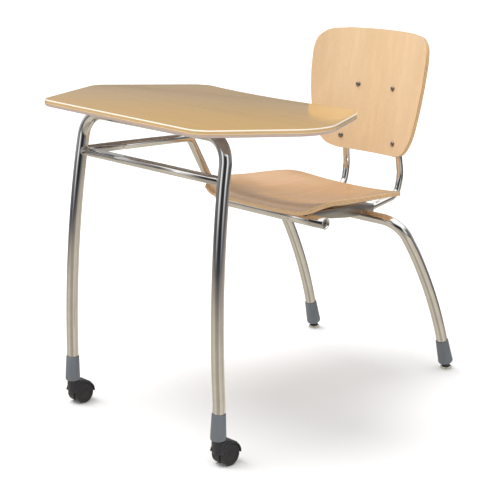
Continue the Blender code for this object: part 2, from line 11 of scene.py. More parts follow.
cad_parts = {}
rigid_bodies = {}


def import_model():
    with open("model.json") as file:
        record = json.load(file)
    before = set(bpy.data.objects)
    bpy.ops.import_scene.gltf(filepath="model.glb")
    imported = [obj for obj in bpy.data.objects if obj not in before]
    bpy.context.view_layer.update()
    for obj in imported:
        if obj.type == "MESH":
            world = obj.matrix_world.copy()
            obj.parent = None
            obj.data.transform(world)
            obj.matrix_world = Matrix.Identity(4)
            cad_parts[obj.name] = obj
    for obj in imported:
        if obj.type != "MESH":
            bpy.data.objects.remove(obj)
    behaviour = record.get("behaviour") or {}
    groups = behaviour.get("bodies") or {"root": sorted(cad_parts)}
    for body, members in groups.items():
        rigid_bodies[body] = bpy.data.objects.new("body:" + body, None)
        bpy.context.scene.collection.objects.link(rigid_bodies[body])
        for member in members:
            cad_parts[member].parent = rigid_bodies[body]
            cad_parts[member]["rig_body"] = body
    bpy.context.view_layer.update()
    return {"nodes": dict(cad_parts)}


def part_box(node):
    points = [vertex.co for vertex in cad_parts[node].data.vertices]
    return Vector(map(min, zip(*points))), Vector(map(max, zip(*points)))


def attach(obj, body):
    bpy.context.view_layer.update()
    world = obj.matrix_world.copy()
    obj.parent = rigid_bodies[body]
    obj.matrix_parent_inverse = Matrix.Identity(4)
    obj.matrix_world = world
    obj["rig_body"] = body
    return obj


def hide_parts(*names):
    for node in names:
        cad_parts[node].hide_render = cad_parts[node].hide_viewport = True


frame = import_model()

bl_info = {
    "name": "Student Desk Chair",
    "version": (1, 0, 0),
    "blender": (4, 5, 0),
    "location": "View3D > Sidebar > Desk Chair",
    "description": "Builds a student desk chair with a laminate top, moulded plywood shells and chrome tubes",
    "category": "Object",
}

# Stations along Y are measured from the caster stems and X from midway between them,
# so the stems' own boxes say where that point lies in the frame.


def middle(node):
    low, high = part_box(node)
    return (low + high) / 2


ORIGIN = (middle("caster_stem_left") + middle("caster_stem_right")) / 2
ORIGIN.z = 0.0
TOP_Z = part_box("desktop")[1].z
TOP_THICK = TOP_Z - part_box("desktop")[0].z

# Work surface
TOP_CORNERS = (
    (-0.272, -0.070),
    (0.262, -0.092),
    (0.3965, 0.145),
    (0.268, 0.404),
    (-0.268, 0.430),
    (-0.408, 0.190),
)
TOP_SAG = 0.021
TOP_CORNER_R = (0.050, 0.055, 0.130, 0.090, 0.050, 0.050)

# Front frame
LEG_R = 0.0137
LEG_FOOT_X = 0.2505
LEG_SPLAY = 0.0356
LEG_BOW = 0.030
LEG_BOW_Z = 0.30
LEG_STRAIGHT_Z = 0.14
LEG_RUN_Z = TOP_Z - TOP_THICK - 0.0003 - LEG_R
LEG_BEND_R = 0.058
BAR_Z = 0.6173
BAR_R = 0.0102

# Connecting rail and seat beam
RAIL_R = 0.0106
RAIL_BEND_Y = 0.350
RAIL_BEND_Z = 0.6153
RAIL_BEND_R = 0.030
RAIL_DROP = (-0.2675, 0.4790)
RAIL_LOW_BEND_R = 0.025
RAIL_TURN_X = -0.200
RAIL_END_X = -0.120
BEAM_Y = 0.4471
BEAM_Z = 0.4498
BEAM_R = 0.0141
BEAM_WALL = 0.0028
BEAM_X = (-0.190, 0.139)

# Rear frame, seat and back, all centred on this station
SEAT_X = -0.051
ARCH_R = 0.0140
ARCH_Y = 0.702
ARCH_Z = 0.4195
ARCH_BEND_R = 0.055
HOOP_R = 0.0088
SHELL = 0.010
SEAT_HALF = 0.1955
SEAT_FRONT_Y = 0.393
SEAT_REAR_Y = 0.757
BACK_RADIUS = 0.31
BACK_Y = 0.825
BACK_REF_Z = 0.590
BACK_LEAN = 0.139
SEAT_Y = (0.393, 0.405, 0.425, 0.450, 0.500, 0.560, 0.620, 0.680, 0.730, 0.757)
SEAT_CENTRE_Z = (0.4735, 0.4795, 0.4828, 0.4815, 0.4740, 0.4655, 0.4640, 0.4670, 0.4735, 0.4775)
SEAT_DISH = (0.0080, 0.0110, 0.0150, 0.0200, 0.0285, 0.0345, 0.0350, 0.0300, 0.0200, 0.0130)
BACK_Z = (0.557, 0.566, 0.582, 0.612, 0.660, 0.720, 0.780, 0.822, 0.846, 0.862, 0.8729)
BACK_HALF = (0.096, 0.127, 0.144, 0.161, 0.173, 0.182, 0.186, 0.185, 0.178, 0.161, 0.104)
HOOP_SIDE = (
    (0.0780, 0.7180, 0.4305),
    (0.0785, 0.7570, 0.4312),
    (0.0905, 0.8370, 0.4530),
    (0.0918, 0.8475, 0.5050),
    (0.0885, 0.8325, 0.5900),
    (0.0735, 0.8458, 0.6600),
    (0.0580, 0.8585, 0.7270),
    (0.0480, 0.8712, 0.7780),
)
HOOP_BENDS = (0.03, 0.035, 0.09, 0.25, 0.25, 0.25, 0.034)

PLIES = 7
PLY_SWELL = 0.0009
SEAT_GRID = 72
SEAT_SQUARENESS = 9.0
BACK_GRID = 110
GLIDE_BALL_Z = 0.0102
GLIDE_BALL_R = 0.0052
SIDES = ((-1, "right"), (1, "left"))


# ---------------------------------------------------------------- settings


def colour(name, description, default):
    return bpy.props.FloatVectorProperty(
        name=name, description=description, subtype="COLOR", size=3, min=0.0, max=1.0, default=default
    )


def share(name, description, default):
    return bpy.props.FloatProperty(
        name=name, description=description, subtype="FACTOR", min=0, max=1, default=default
    )


def length(name, description, default):
    return bpy.props.FloatProperty(name=name, description=description, unit="LENGTH", min=0, default=default)


class WorkSurfaceSettings(bpy.types.PropertyGroup):
    laminate: colour("Laminate", "Main colour of the maple laminate", (0.615, 0.372, 0.108))
    streak: colour("Streak", "Colour of the darker grain streaks", (0.550, 0.318, 0.088))
    edge: colour("Edge", "Colour of the exposed edge under the laminate", (0.56, 0.36, 0.16))
    backing: colour("Backing", "Colour of the sheet on the underside", (0.20, 0.15, 0.12))
    gloss: share("Gloss roughness", "Roughness of the laminate", 0.12)
    top_round: length("Top rounding", "Radius of the upper edge", 0.0032)
    low_round: length("Lower rounding", "Radius of the lower edge", 0.0055)


class ShellSettings(bpy.types.PropertyGroup):
    back: colour("Back face ply", "Colour of the back's maple face", (0.80, 0.56, 0.330))
    # The seat's face colour is darker and browner than the back's: the same maple with painted shade from the
    # desktop above.
    seat: colour("Seat face ply", "Colour of the seat's maple face", (0.64, 0.375, 0.175))
    light_ply: colour("Light ply", "Colour of the light plies at the edge", (0.76, 0.52, 0.28))
    dark_ply: colour("Dark ply", "Colour of the dark plies at the edge", (0.40, 0.21, 0.085))
    gloss: share("Lacquer roughness", "Roughness of the lacquer", 0.22)


class MetalSettings(bpy.types.PropertyGroup):
    chrome: colour("Chrome", "Tint of the plating", (0.80, 0.795, 0.79))
    chrome_gloss: share("Chrome roughness", "Roughness of the plating", 0.022)
    steel: colour("Satin steel", "Colour of the seat brackets", (0.50, 0.49, 0.475))
    screws: colour("Screws", "Colour of the dark plated screws", (0.26, 0.24, 0.22))


class PlasticSettings(bpy.types.PropertyGroup):
    boots: colour("Boots", "Colour of the leg boots", (0.135, 0.150, 0.165))
    black: colour("Black plastic", "Colour of casters, pads and plugs", (0.028, 0.027, 0.032))


class StudioSettings(bpy.types.PropertyGroup):
    floor: colour("Floor", "Colour of the floor", (0.93, 0.93, 0.93))
    ambient: bpy.props.FloatProperty(
        name="Ambient", description="Strength of the room light", min=0, default=0.94
    )
    key: bpy.props.FloatProperty(
        name="Key", description="Strength of the key light", min=0, default=0.54
    )


# ---------------------------------------------------------------- materials


class NodeSheet:
    """A material's node tree with short ways to add and join nodes."""

    def __init__(self, name):
        self.material = bpy.data.materials.new(name)
        self.material.use_nodes = True
        self.tree = self.material.node_tree
        self.shader = self.tree.nodes["Principled BSDF"]

    def add(self, kind, **values):
        node = self.tree.nodes.new(kind)
        for key, value in values.items():
            setattr(node, key, value)
        return node

    def join(self, source, target):
        self.tree.links.new(source, target)

    def coordinates(self, scale):
        """Object coordinates stretched by a scale along each axis."""
        where = self.add("ShaderNodeTexCoord")
        mapping = self.add("ShaderNodeMapping")
        mapping.inputs["Scale"].default_value = scale
        self.join(where.outputs["Object"], mapping.inputs["Vector"])
        return mapping.outputs["Vector"]

    def noise(self, scale, size=1.0, detail=4.0, roughness=0.55, warp=0.0):
        texture = self.add("ShaderNodeTexNoise")
        texture.inputs["Scale"].default_value = size
        texture.inputs["Detail"].default_value = detail
        texture.inputs["Roughness"].default_value = roughness
        texture.inputs["Distortion"].default_value = warp
        self.join(self.coordinates(scale), texture.inputs["Vector"])
        return texture.outputs["Fac"]

    def ramp(self, source, stops):
        """Colours between the stops, each a position and a colour."""
        node = self.add("ShaderNodeValToRGB")
        elements = node.color_ramp.elements
        while len(elements) < len(stops):
            elements.new(0.5)
        for element, (position, tint) in zip(elements, stops):
            element.position = position
            element.color = (*tint, 1.0)
        self.join(source, node.inputs["Fac"])
        return node.outputs["Color"]

    def mix(self, factor, first, second, blend="MIX"):
        node = self.add("ShaderNodeMix", data_type="RGBA", blend_type=blend)
        if isinstance(factor, float):
            node.inputs["Factor"].default_value = factor
        else:
            self.join(factor, node.inputs["Factor"])
        for socket, value in ((node.inputs[6], first), (node.inputs[7], second)):
            if isinstance(value, tuple):
                socket.default_value = (*value, 1.0)
            else:
                self.join(value, socket)
        return node.outputs[2]

    def spread(self, source, low, high):
        """The source's 0 to 1 put between low and high."""
        node = self.add("ShaderNodeMapRange")
        node.inputs["To Min"].default_value = low
        node.inputs["To Max"].default_value = high
        self.join(source, node.inputs["Value"])
        return node.outputs["Result"]

    def bump(self, height, distance, strength=1.0):
        node = self.add("ShaderNodeBump")
        node.inputs["Distance"].default_value = distance
        node.inputs["Strength"].default_value = strength
        self.join(height, node.inputs["Height"])
        self.join(node.outputs["Normal"], self.shader.inputs["Normal"])

    def base(self, source):
        self.join(source, self.shader.inputs["Base Color"])

    def roughness(self, source):
        self.join(source, self.shader.inputs["Roughness"])


def shade(tint, factor):
    return tuple(min(1.0, channel * factor) for channel in tint)


GRAIN = {"X": (2.2, 55.0, 55.0), "Y": (55.0, 2.2, 55.0), "Z": (55.0, 55.0, 2.2)}
FIBRE = {"X": (14.0, 900.0, 900.0), "Y": (900.0, 14.0, 900.0), "Z": (900.0, 900.0, 14.0)}
CLOUD = {"X": (1.0, 5.0, 5.0), "Y": (5.0, 1.0, 5.0), "Z": (5.0, 5.0, 1.0)}


def maple(name, light, dark, axis, roughness, contrast=1.0):
    """Clear-coated maple: soft figure, darker growth streaks and fine fibre along one axis."""
    sheet = NodeSheet(name)
    figure = sheet.noise(GRAIN[axis], 1.0, 6.0, 0.62, 0.35)
    cloud = sheet.noise(CLOUD[axis], 1.6, 3.0, 0.5, 0.6)
    fibre = sheet.noise(FIBRE[axis], 1.0, 3.0, 0.5)
    streaks = sheet.ramp(figure, [(0.30, shade(dark, 0.94)), (0.50, dark), (0.68, light)])
    clouds = sheet.ramp(cloud, [(0.32, shade(light, 0.95)), (0.68, shade(light, 1.04))])
    mixed = sheet.mix(0.45 * contrast, clouds, streaks)
    lines = sheet.ramp(fibre, [(0.35, (0.90, 0.88, 0.85)), (0.60, (1.0, 1.0, 1.0))])
    sheet.base(sheet.mix(0.55 * contrast, mixed, lines, "MULTIPLY"))
    sheet.roughness(sheet.spread(cloud, roughness * 0.85, roughness * 1.2))
    sheet.bump(fibre, 0.00003, 0.35)
    sheet.shader.inputs["Coat Weight"].default_value = 0.25
    sheet.shader.inputs["Coat Roughness"].default_value = 0.08
    return sheet.material


def laminate_edge(tint, top_z, thick):
    """The edge under the laminate, coloured by height: a pale painted highlight line on the upper rounding, the
    core crossed by a second pale painted highlight line, and a greyer lower lip of painted shade.
    """
    sheet = NodeSheet("laminate_edge")
    where = sheet.add("ShaderNodeTexCoord")
    parts = sheet.add("ShaderNodeSeparateXYZ")
    sheet.join(where.outputs["Object"], parts.inputs["Vector"])
    depth = sheet.add("ShaderNodeMapRange")
    depth.inputs["From Min"].default_value = top_z
    depth.inputs["From Max"].default_value = top_z - thick
    sheet.join(parts.outputs["Z"], depth.inputs["Value"])
    # Painted highlight lines near the top and across the middle of the edge, painted shade on the lower lip.
    painted_highlight_and_shade_bands = sheet.ramp(
        depth.outputs["Result"],
        [
            (0.00, (0.86, 0.80, 0.70)),
            (0.13, (0.80, 0.72, 0.60)),
            (0.18, tint),
            (0.44, shade(tint, 1.06)),
            (0.50, (0.76, 0.66, 0.50)),
            (0.58, shade(tint, 0.85)),
            (0.68, (0.50, 0.38, 0.34)),
            (1.00, (0.34, 0.28, 0.25)),
        ],
    )
    fleck = sheet.noise((40.0, 40.0, 260.0), 1.0, 3.0)
    flecks = sheet.ramp(fleck, [(0.35, (0.93, 0.91, 0.88)), (0.65, (1.0, 1.0, 1.0))])
    sheet.base(sheet.mix(0.8, painted_highlight_and_shade_bands, flecks, "MULTIPLY"))
    sheet.roughness(sheet.spread(fleck, 0.14, 0.24))
    sheet.shader.inputs["Coat Weight"].default_value = 0.5
    sheet.shader.inputs["Coat Roughness"].default_value = 0.06
    return sheet.material


def chrome(name, tint, roughness):
    """Bright plating with faint polishing haze."""
    sheet = NodeSheet(name)
    haze = sheet.noise((30.0, 30.0, 30.0), 1.0, 4.0)
    sheet.base(sheet.ramp(haze, [(0.35, shade(tint, 0.95)), (0.65, shade(tint, 1.03))]))
    sheet.roughness(sheet.spread(haze, roughness * 0.6, roughness * 1.5))
    polish = sheet.noise((260.0, 260.0, 40.0), 1.0, 2.0)
    sheet.bump(polish, 0.00001, 0.2)
    sheet.shader.inputs["Metallic"].default_value = 1.0
    return sheet.material


def brushed(name, tint, roughness, stretch):
    """Satin steel with fine brush marks."""
    sheet = NodeSheet(name)
    marks = sheet.noise(stretch, 1.0, 4.0)
    sheet.base(sheet.ramp(marks, [(0.30, shade(tint, 0.88)), (0.70, shade(tint, 1.08))]))
    sheet.roughness(sheet.spread(marks, roughness * 0.8, roughness * 1.25))
    sheet.bump(marks, 0.00002, 0.3)
    sheet.shader.inputs["Metallic"].default_value = 1.0
    return sheet.material


def moulded(name, tint, roughness, grain=900.0):
    """Moulded plastic with a fine spark-eroded grain and faint flow marks."""
    sheet = NodeSheet(name)
    flow = sheet.noise((26.0, 26.0, 12.0), 1.0, 3.0, 0.5, 0.4)
    pits = sheet.noise((grain, grain, grain), 1.0, 2.0)
    sheet.base(sheet.ramp(flow, [(0.32, shade(tint, 0.90)), (0.68, shade(tint, 1.12))]))
    sheet.roughness(sheet.spread(flow, roughness * 0.85, roughness * 1.2))
    sheet.bump(pits, 0.00005, 0.35)
    return sheet.material


FINISHES = {}


def mix_finishes(context):
    """Every finish of the desk chair, made once from the settings."""
    if FINISHES:
        return
    scene = context.scene
    top, shell = scene.desk_top, scene.desk_shells
    metal, plastic = scene.desk_metal, scene.desk_plastic
    FINISHES.update(
        laminate=maple("golden_maple_laminate", tuple(top.laminate), tuple(top.streak), "X", top.gloss, 0.9),
        laminate_edge=laminate_edge(tuple(top.edge), TOP_Z, TOP_THICK),
        backing=moulded("backing_sheet", tuple(top.backing), 0.55, 400.0),
        back_face=maple("maple_back_face", tuple(shell.back), shade(shell.back, 0.86), "Z", shell.gloss),
        # Seat face: the back's maple darkened with painted shade.
        seat_face=maple("maple_seat_face", tuple(shell.seat), shade(shell.seat, 0.84), "Y", shell.gloss * 0.9),
        light_ply=maple("light_ply", tuple(shell.light_ply), shade(shell.light_ply, 0.9), "X", 0.35),
        dark_ply=maple("dark_ply", tuple(shell.dark_ply), shade(shell.dark_ply, 0.85), "X", 0.40),
        chrome=chrome("chrome_plating", tuple(metal.chrome), metal.chrome_gloss),
        bright=chrome("bright_plating", shade(metal.chrome, 0.85), 0.14),
        satin=brushed("satin_bracket_steel", tuple(metal.steel), 0.30, (40.0, 8.0, 600.0)),
        screw=brushed("dark_screw_steel", tuple(metal.screws), 0.32, (500.0, 500.0, 500.0)),
        weld=brushed("plated_weld_bead", shade(metal.chrome, 0.75), 0.20, (700.0, 700.0, 700.0)),
        boot=moulded("boot_plastic", tuple(plastic.boots), 0.38),
        black=moulded("black_plastic", tuple(plastic.black), 0.34),
        tread=moulded("wheel_tread", shade(plastic.black, 0.8), 0.48, 1400.0),
    )


# ---------------------------------------------------------------- mesh helpers


def put(name, mesh, finishes, body, nodes, smooth_angle=35.0):
    """A piece in place of its CAD nodes, riding on their body."""
    obj = bpy.data.objects.new(name, mesh)
    bpy.context.scene.collection.objects.link(obj)
    for finish in finishes:
        mesh.materials.append(FINISHES[finish])
    mesh.polygons.foreach_set("use_smooth", [True] * len(mesh.polygons))
    mesh.set_sharp_from_angle(angle=math.radians(smooth_angle))
    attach(obj, body)
    if nodes:
        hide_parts(*nodes)
    return obj


def to_mesh(name, bm):
    bmesh.ops.remove_doubles(bm, verts=bm.verts, dist=1e-6)
    bmesh.ops.recalc_face_normals(bm, faces=bm.faces)
    mesh = bpy.data.meshes.new(name)
    bm.to_mesh(mesh)
    bm.free()
    return mesh


def refined(node, finish, bevel=0.0, angle=32.0):
    """A welded copy of the node's own shape with softened edges."""
    bm = bmesh.new()
    bm.from_mesh(frame["nodes"][node].data)
    mesh = to_mesh(f"{node}_fine", bm)
    mesh.materials.clear()
    body = frame["nodes"][node]["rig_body"]
    obj = put(f"{node}_fine", mesh, [finish], body, [node], angle)
    if bevel:
        step = obj.modifiers.new("softened", "BEVEL")
        step.width = bevel
        step.segments = 2
        step.limit_method = "ANGLE"
        step.angle_limit = math.radians(angle)
        step.harden_normals = True
    return obj


def rounded_path(corners, radii, steps=14):
    """The corner points, with an arc of the given radius at each inner one."""
    path = [Vector(corners[0])]
    for before, corner, after, radius in zip(corners, corners[1:], corners[2:], radii):
        corner = Vector(corner)
        back = (Vector(before) - corner).normalized()
        ahead = (Vector(after) - corner).normalized()
        half = back.angle(ahead) / 2
        if radius <= 0 or half > math.radians(89):
            path.append(corner)
            continue
        reach = radius / math.tan(half)
        centre = corner + (back + ahead).normalized() * (radius / math.sin(half))
        start = corner + back * reach - centre
        turn = math.pi - 2 * half
        for i in range(steps + 1):
            swing = Matrix.Rotation(turn * i / steps, 3, ahead.cross(back))
            path.append(centre + swing @ start)
    path.append(Vector(corners[-1]))
    return path


def swept(name, path, radius, sides=28, closed=False):
    """A round tube skin along the path, carried by frames that do not twist."""
    points = [ORIGIN + Vector(p) for p in path]
    count = len(points)
    bm = bmesh.new()
    rings = []
    side = None
    for i, point in enumerate(points):
        before = points[(i - 1) % count] if closed else points[max(i - 1, 0)]
        after = points[(i + 1) % count] if closed else points[min(i + 1, count - 1)]
        along = (after - before).normalized()
        if side is None:
            side = along.orthogonal().normalized()
        side = (side - along * side.dot(along)).normalized()
        up = along.cross(side)
        ring = []
        for k in range(sides):
            a = math.tau * k / sides
            ring.append(bm.verts.new(point + (side * math.cos(a) + up * math.sin(a)) * radius))
        rings.append(ring)
    pairs = list(zip(rings, rings[1:]))
    if closed:
        pairs.append((rings[-1], rings[0]))
    for low, high in pairs:
        for k in range(sides):
            n = (k + 1) % sides
            bm.faces.new((low[k], low[n], high[n], high[k]))
    return to_mesh(name, bm)


def chrome_tube(name, path, radius, node, wall=0.0016):
    mesh = swept(name, path, radius)
    obj = put(name, mesh, ["chrome"], "frame", [node] if node else [], 60)
    skin = obj.modifiers.new("wall", "SOLIDIFY")
    skin.thickness = wall
    skin.offset = -1.0
    return obj


def lathe(name, profile, sides=64, closed=False):
    """The (radius, height) profile turned about Z."""
    bm = bmesh.new()
    verts = [bm.verts.new((r, 0.0, z)) for r, z in profile]
    edges = [bm.edges.new(pair) for pair in zip(verts, verts[1:])]
    if closed:
        edges.append(bm.edges.new((verts[-1], verts[0])))
    bmesh.ops.spin(bm, geom=verts + edges, cent=(0, 0, 0), axis=(0, 0, 1), angle=math.tau, steps=sides)
    return to_mesh(name, bm)


def turned_to(mesh, direction, spot):
    swing = Vector((0, 0, 1)).rotation_difference(Vector(direction)).to_matrix().to_4x4()
    mesh.transform(Matrix.Translation(spot) @ swing)
    return mesh


def smooth_interp(x, xs, ys):
    """Piecewise cubic through the stations, with slopes from their neighbours."""
    slopes = np.gradient(np.array(ys), np.array(xs))
    i = int(np.clip(np.searchsorted(xs, x) - 1, 0, len(xs) - 2))
    h = xs[i + 1] - xs[i]
    t = (x - xs[i]) / h
    rise = (2 * t**3 - 3 * t**2 + 1) * ys[i] + (3 * t**2 - 2 * t**3) * ys[i + 1]
    return rise + h * ((t**3 - 2 * t**2 + t) * slopes[i] + (t**3 - t**2) * slopes[i + 1])


# ---------------------------------------------------------------- work surface


def top_outline():
    """Six rounded corners; the rear edge bows in slightly."""
    ring = [Vector((x, y, 0)) for x, y in TOP_CORNERS]
    path = rounded_path([ring[-1], *ring, ring[0]], TOP_CORNER_R, steps=14)[1:-1]
    outline = []
    for here, ahead in zip(path, path[1:] + path[:1]):
        outline.append(here)
        if here.y > 0.3 and here.x - ahead.x > 0.2:
            for i in range(1, 40):
                t = i / 40
                spot = here.lerp(ahead, t)
                spot.y -= TOP_SAG * 4 * t * (1 - t)
                outline.append(spot)
    return outline


def edge_profile(top_round, low_round):
    """(inset, height) from the flat top round the edge to the flat underside."""
    steps = [
        (top_round * (1 - math.sin(a)), -top_round * (1 - math.cos(a)))
        for a in np.linspace(0, math.pi / 2, 7)
    ]
    steps.append((0.0, -(TOP_THICK - low_round)))
    for a in np.linspace(0, math.pi / 2, 8)[1:]:
        steps.append((low_round * (1 - math.cos(a)), -(TOP_THICK - low_round) - low_round * math.sin(a)))
    return steps


def work_surface_mesh(top_round, low_round):
    outline = top_outline()
    count = len(outline)
    inward = []
    for i, spot in enumerate(outline):
        along = (outline[(i + 1) % count] - outline[i - 1]).normalized()
        inward.append(Vector((-along.y, along.x, 0)))
    bm = bmesh.new()
    rings = []
    for inset, height in edge_profile(top_round, low_round):
        ring = []
        for spot, way in zip(outline, inward):
            where = ORIGIN + spot + way * inset
            ring.append(bm.verts.new((where.x, where.y, TOP_Z + height)))
        rings.append(ring)
    for k, (upper, lower) in enumerate(zip(rings, rings[1:])):
        for i in range(count):
            n = (i + 1) % count
            face = bm.faces.new((upper[i], lower[i], lower[n], upper[n]))
            face.material_index = 0 if k < 1 else 1
    bm.faces.new(rings[0]).material_index = 0
    bm.faces.new(list(reversed(rings[-1]))).material_index = 2
    return to_mesh("work_surface", bm)


# ---------------------------------------------------------------- tube routes


def leg_point(z, side):
    """Centre line of a front leg: a slight splay and a forward bow."""
    rise = max(z, LEG_STRAIGHT_Z)
    bow = LEG_BOW * (((rise - LEG_BOW_Z) / 0.4) ** 2 - ((LEG_STRAIGHT_Z - LEG_BOW_Z) / 0.4) ** 2)
    return Vector((side * (LEG_FOOT_X - LEG_SPLAY * (rise - LEG_STRAIGHT_Z)), bow, z))


def arch_of(half, bend, steps=18):
    """A leg line, its mirror twin and two bends between them."""
    near, far = half
    bends = [0.0] * (len(near) - 2) + [bend, bend] + [0.0] * (len(near) - 2)
    return rounded_path(near + far[::-1], bends, steps)


def front_frame_route():
    heights = [0.066, *np.linspace(0.14, 0.61, 26), LEG_RUN_Z]
    return arch_of([[leg_point(float(z), side) for z in heights] for side in (-1, 1)], LEG_BEND_R)


def rail_route():
    start = leg_point(BAR_Z, -1)
    corners = [
        start,
        (start.x + 0.001, RAIL_BEND_Y, RAIL_BEND_Z),
        (*RAIL_DROP, BEAM_Z),
        (RAIL_TURN_X, BEAM_Y, BEAM_Z),
        (RAIL_END_X, BEAM_Y, BEAM_Z),
    ]
    return rounded_path(corners, [RAIL_BEND_R, RAIL_LOW_BEND_R, RAIL_LOW_BEND_R])


def rear_leg_point(z, side):
    """Centre line of a rear leg: it bows backwards and splays a little."""
    s = z - 0.1
    out = 0.2321 - 0.0415 * s - 0.0713 * s * s
    back = 0.8776 - 0.3545 * s - 0.6046 * s * s
    return Vector((SEAT_X + side * out, back, z))


def rear_frame_route():
    sides = []
    for side in (-1, 1):
        points = [rear_leg_point(float(z), side) for z in np.linspace(0.048, 0.34, 22)]
        last = rear_leg_point(ARCH_Z, side)
        last.y = ARCH_Y
        sides.append([*points, last])
    return arch_of(sides, ARCH_BEND_R)


def hoop_route():
    halves = [[Vector((SEAT_X + side * u, y, z)) for u, y, z in HOOP_SIDE] for side in (-1, 1)]
    return rounded_path(halves[0] + halves[1][::-1], HOOP_BENDS + HOOP_BENDS[::-1], steps=12)


def weld_bead(name, start, end, bar_radius, post_radius, bead=0.0014):
    """A bead round the bar where it meets the post that stands at its start."""
    start, end = Vector(start), Vector(end)
    along = (end - start).normalized()
    side = along.cross(Vector((0, 0, 1))).normalized()
    up = side.cross(along)
    loop = []
    for k in range(40):
        a = math.tau * k / 40
        off = bar_radius * math.cos(a)
        reach = math.sqrt(max(post_radius**2 - off**2, 0.0))
        loop.append(start + along * reach + side * off + up * bar_radius * math.sin(a))
    mesh = swept(name, loop, bead, 10, closed=True)
    return put(name, mesh, ["weld"], "frame", [], 80)


# ---------------------------------------------------------------- plywood shells


def seat_top_z(u, y):
    """Height of the sitting surface at u from the seat's centre line."""
    dish = smooth_interp(y, SEAT_Y, SEAT_DISH)
    return smooth_interp(y, SEAT_Y, SEAT_CENTRE_Z) + dish * (abs(u) / SEAT_HALF) ** 2.6


def superellipse(s, t, power):
    """A square grid point drawn onto a rounded-square disc."""
    reach = max(abs(s), abs(t))
    if reach == 0:
        return 0.0, 0.0
    scale = reach / (abs(s) ** power + abs(t) ** power) ** (1 / power)
    return s * scale, t * scale


def seat_spot(s, t):
    s, t = superellipse(s, t, SEAT_SQUARENESS)
    centre = (SEAT_FRONT_Y + SEAT_REAR_Y) / 2
    depth = (SEAT_REAR_Y - SEAT_FRONT_Y) / 2
    half = SEAT_HALF * (1.0 - 0.02 * (1 + t) - 0.015 * max(0.0, -t) ** 3)
    u, y = s * half, centre + t * depth - 0.004 * (1 - s * s) * (t < 0)
    y = min(max(y, SEAT_Y[0]), SEAT_Y[-1])
    return (SEAT_X + u, y, seat_top_z(u, y))


def back_front_y(u, z):
    """Front surface of the back: it leans back and wraps forward at the sides."""
    return BACK_Y + (z - BACK_REF_Z) * BACK_LEAN - u * u / (2 * BACK_RADIUS)


BACK_STEPS = np.concatenate([[0.0], np.cumsum(np.hypot(np.diff(BACK_Z), np.diff(BACK_HALF)))])


def back_spot(s, t):
    run = BACK_STEPS[-1] * (t + 1) / 2
    z = smooth_interp(run, BACK_STEPS, BACK_Z)
    u = s * smooth_interp(run, BACK_STEPS, BACK_HALF)
    z += (0.006 * (1 - t) - 0.004 * (1 + t)) * 0.5 * (u / 0.19) ** 2
    return (SEAT_X + u, back_front_y(u, z), z)


def shell_mesh(name, spot, count, facing):
    """A moulded shell: a face, a rear face and a rim of plies, with the face towards facing."""
    lines = np.linspace(-1, 1, count)
    front = np.array([[spot(float(s), float(t)) for s in lines] for t in lines]) + np.array(ORIGIN)
    across, along = np.gradient(front, axis=1), np.gradient(front, axis=0)
    normal = np.cross(across, along)
    normal /= np.linalg.norm(normal, axis=2, keepdims=True)
    if (normal.reshape(-1, 3).mean(0) * facing).sum() < 0:
        normal = -normal
    last = count - 1
    loop = [(0, j) for j in range(count)] + [(i, last) for i in range(1, count)]
    loop += [(last, j) for j in range(last - 1, -1, -1)] + [(i, 0) for i in range(last - 1, 0, -1)]
    bm = bmesh.new()
    faces = {}
    for layer, depth in (("front", 0.0), ("rear", SHELL)):
        grid = front - normal * depth
        faces[layer] = [[bm.verts.new(grid[i, j]) for j in range(count)] for i in range(count)]
    for layer in faces.values():
        for i in range(last):
            for j in range(last):
                face = bm.faces.new((layer[i][j], layer[i][j + 1], layer[i + 1][j + 1], layer[i + 1][j]))
                face.material_index = 0
    centre = front.reshape(-1, 3).mean(0)
    rings = [[faces["front"][i][j] for i, j in loop]]
    for k in range(1, PLIES):
        ring = []
        share_in = k / PLIES
        swell = PLY_SWELL * math.sin(math.pi * share_in)
        for n, (i, j) in enumerate(loop):
            before, after = loop[n - 1], loop[(n + 1) % len(loop)]
            tangent = front[after] - front[before]
            outward = np.cross(tangent, normal[i, j])
            outward /= np.linalg.norm(outward) + 1e-12
            if (outward * (front[i, j] - centre)).sum() < 0:
                outward = -outward
            ring.append(bm.verts.new(front[i, j] - normal[i, j] * SHELL * share_in + outward * swell))
        rings.append(ring)
    rings.append([faces["rear"][i][j] for i, j in loop])
    for k, (first, second) in enumerate(zip(rings, rings[1:])):
        for n in range(len(loop)):
            m = (n + 1) % len(loop)
            face = bm.faces.new((first[n], first[m], second[m], second[n]))
            face.material_index = 1 if k % 2 == 0 else 2
    return to_mesh(name, bm)


# ---------------------------------------------------------------- operators


class DESKCHAIR_OT_work_surface(bpy.types.Operator):
    """Make the laminate work surface and finish its support arms"""

    bl_idname = "deskchair.work_surface"
    bl_label = "Work surface"

    def execute(self, context):
        mix_finishes(context)
        settings = context.scene.desk_top
        mesh = work_surface_mesh(settings.top_round, settings.low_round)
        finishes = ["laminate", "laminate_edge", "backing"]
        put("work_surface", mesh, finishes, "frame", ["desktop"], 25)
        for _, tag in SIDES:
            refined(f"top_arm_{tag}", "chrome", 0.0008)
        return {"FINISHED"}


class DESKCHAIR_OT_front_frame(bpy.types.Operator):
    """Make the bowed front legs, the crossbar and their welds"""

    bl_idname = "deskchair.front_frame"
    bl_label = "Front frame"

    def execute(self, context):
        mix_finishes(context)
        chrome_tube("front_legs", front_frame_route(), LEG_R, "front_leg_frame")
        ends = [leg_point(BAR_Z, side) for side in (-1, 1)]
        chrome_tube("crossbar", [ends[0], ends[0].lerp(ends[1], 0.5), ends[1]], BAR_R, "front_crossbar")
        weld_bead("crossbar_weld_right", ends[0], ends[1], BAR_R, LEG_R)
        weld_bead("crossbar_weld_left", ends[1], ends[0], BAR_R, LEG_R)
        return {"FINISHED"}


